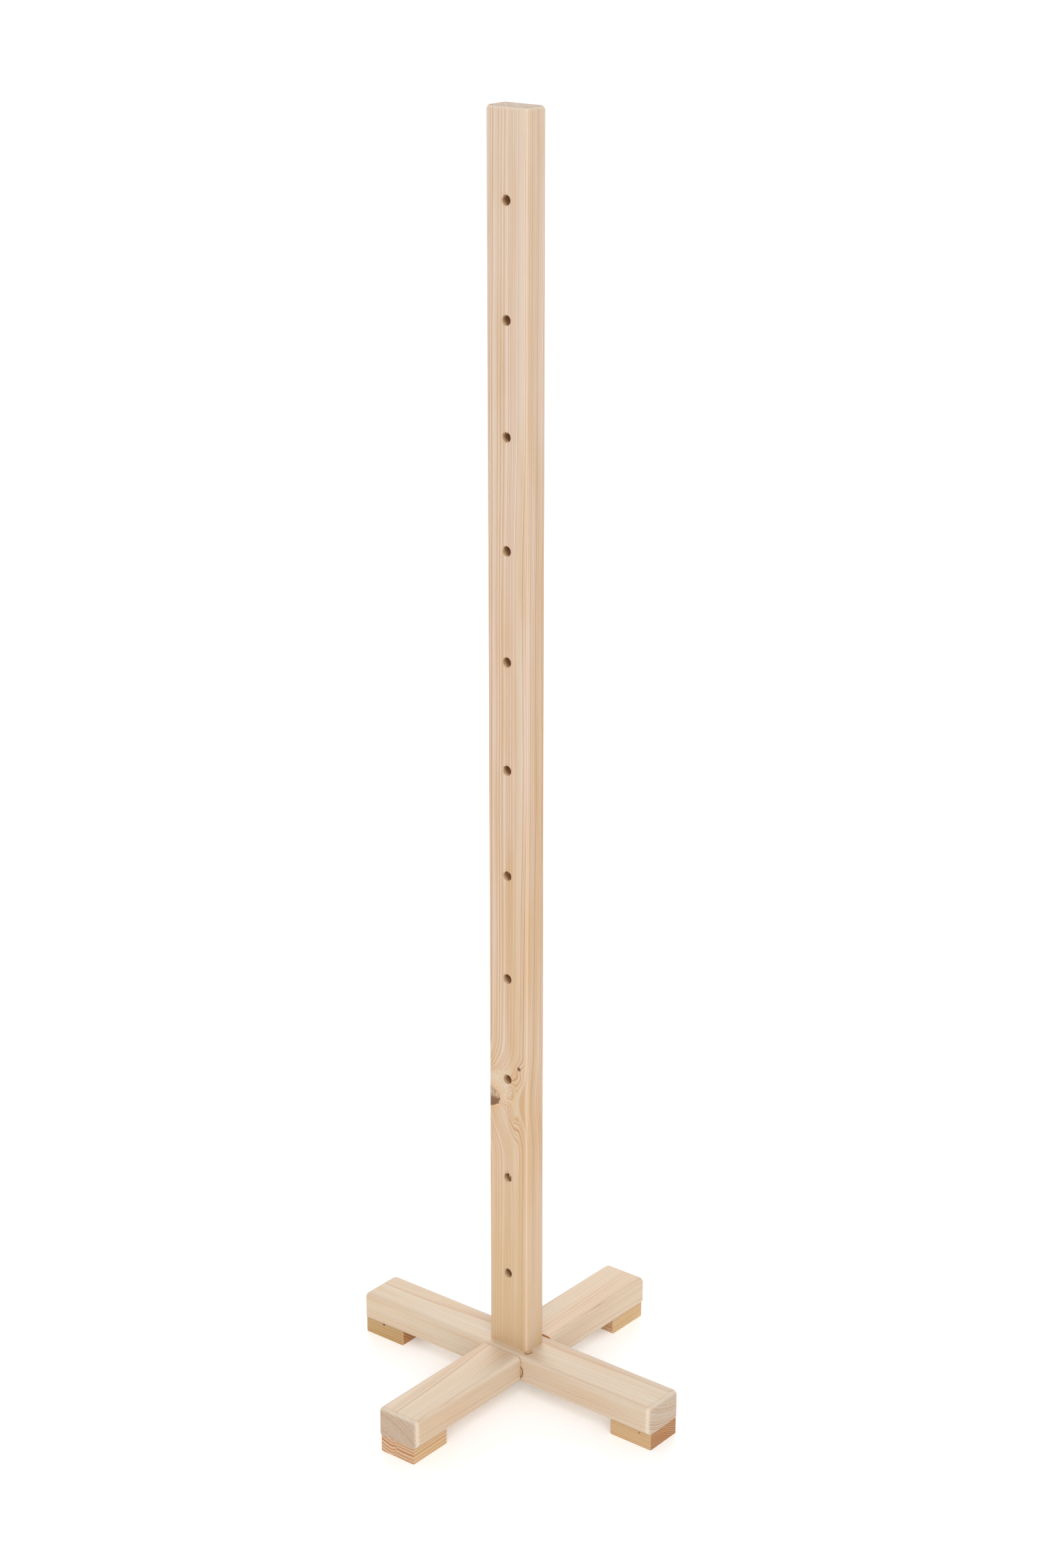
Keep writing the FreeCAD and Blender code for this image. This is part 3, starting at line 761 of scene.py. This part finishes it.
def make_torn_fibres():
    """The splinters as one plain mesh, front and back."""
    mouths = make_hole_mouths()
    tree = fibre_tree()
    inputs = {i.name: i.identifier for i in tree.interface.items_tree if i.in_out == "INPUT"}
    grow = mouths.modifiers.new("fibres", "NODES")
    grow.node_group = tree
    for name, value in (
            ("Hole radius", peg_holes.radius / MM), ("Places", 44), ("Length", 4.0 / MM),
            ("Thickness", 0.34 / MM), ("Seed", 4), ("Material", torn_spruce_fibre())):
        grow[inputs[name]] = value
    baked = bpy.data.meshes.new_from_object(mouths.evaluated_get(bpy.context.evaluated_depsgraph_get()))
    bpy.data.objects.remove(mouths)
    baked.name = "torn_fibres"
    fibres = bpy.data.objects.new("torn_fibres", baked)
    bpy.context.collection.objects.link(fibres)
    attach(fibres, "root")


make_torn_fibres()


# --- the floor, light and camera -----------------------------------------------------------
rack_middle = Vector((0, 0, 0.9))     # what the lights look at


def matt_white_board():
    """Matt white painted board with the faintest cloudiness, lit a little from within like a light table."""
    material, tree = new_material("matt_white_board")
    texture = add(tree, "ShaderNodeTexCoord")
    cloud = add(tree, "ShaderNodeTexNoise", {
        "Vector": live(texture.outputs, "Object"), "Scale": 1.5, "Detail": 2.0})
    tint = fill_ramp(add(tree, "ShaderNodeValToRGB", {"Fac": cloud}), [
        (0.3, colour("f8f8f7")), (0.7, colour("fbfbfb"))])
    shader = add(tree, "ShaderNodeBsdfPrincipled", {
        "Base Color": tint, "Roughness": 0.9, "Emission Color": colour("ffffff"), "Emission Strength": 0.18})
    add(tree, "ShaderNodeOutputMaterial", {"Surface": shader})
    return material


def make_floor(reach):
    """A square floor that runs so many metres out each way."""
    corners = [(-reach, -reach, 0), (reach, -reach, 0), (reach, reach, 0), (-reach, reach, 0)]
    mesh = bpy.data.meshes.new("floor")
    mesh.from_pydata(corners, [], [(0, 1, 2, 3)])
    mesh.materials.append(matt_white_board())
    floor = bpy.data.objects.new("floor", mesh)
    bpy.context.collection.objects.link(floor)


def make_sky(level, overhead):
    """White light all round: brightest at eye level, where the floor runs out into it, dimmer overhead."""
    world = bpy.data.worlds.new("studio")
    world.use_nodes = True
    tree = world.node_tree
    tree.nodes.clear()
    way = live(add(tree, "ShaderNodeTexCoord").outputs, "Object")
    height = live(add(tree, "ShaderNodeSeparateXYZ", {"Vector": way}).outputs, "Z")
    # It dims between about 4 and 17 degrees up.
    strength = add(tree, "ShaderNodeMapRange", {
        "Value": height, "From Min": 0.07, "From Max": 0.3, "To Min": level, "To Max": overhead})
    white = add(tree, "ShaderNodeBackground", {"Color": colour("ffffff"), "Strength": strength})
    add(tree, "ShaderNodeOutputWorld", {"Surface": white})
    bpy.context.scene.world = world


def light_way(azimuth, elevation):
    """The way to a light, from its angles in degrees."""
    a = math.radians(azimuth)
    e = math.radians(elevation)
    return Vector((math.cos(e) * math.cos(a), math.cos(e) * math.sin(a), math.sin(e)))


def add_light(name, light, way, distance):
    """Puts a light out from the middle of the rack, looking at it."""
    lamp = bpy.data.objects.new(name, light)
    lamp.location = rack_middle + way * distance
    lamp.rotation_euler = way.to_track_quat("Z", "Y").to_euler()
    bpy.context.collection.objects.link(lamp)


def make_soft_sun(name, azimuth, elevation, spread, strength):
    """A broad even light from one side, in degrees."""
    light = bpy.data.lights.new(name, "SUN")
    light.angle = math.radians(spread)
    light.energy = strength
    add_light(name, light, light_way(azimuth, elevation), distance=4.0)


def make_panel(name, azimuth, elevation, distance, width, power):
    """A square soft panel, in degrees, metres and watts."""
    light = bpy.data.lights.new(name, "AREA")
    light.shape = "SQUARE"
    light.size = width
    light.energy = power
    add_light(name, light, light_way(azimuth, elevation), distance)


def make_camera(azimuth, distance, height, down, yaw, lens):
    """A camera at a compass angle and level distance from the post, in degrees and metres. It looks down
    by one angle and turns left of the post by another."""
    a = math.radians(azimuth)
    data = bpy.data.cameras.new("camera")
    data.lens = lens
    camera = bpy.data.objects.new("camera", data)
    camera.location = (distance * math.cos(a), distance * math.sin(a), height)
    camera.rotation_euler = (math.radians(90 - down), 0, math.radians(90 + azimuth + yaw))
    bpy.context.collection.objects.link(camera)
    bpy.context.scene.camera = camera


make_floor(reach=60)
make_sky(level=1.0, overhead=0.6)
make_soft_sun("key", azimuth=-48, elevation=40, spread=40, strength=1.4)
make_panel("gloss", azimuth=129, elevation=24, distance=4.5, width=3.0, power=90)
make_camera(azimuth=-51.125, distance=3.752, height=2.2448, down=19.612, yaw=-0.126, lens=68.65)
bpy.context.scene.view_settings.view_transform = "Standard"
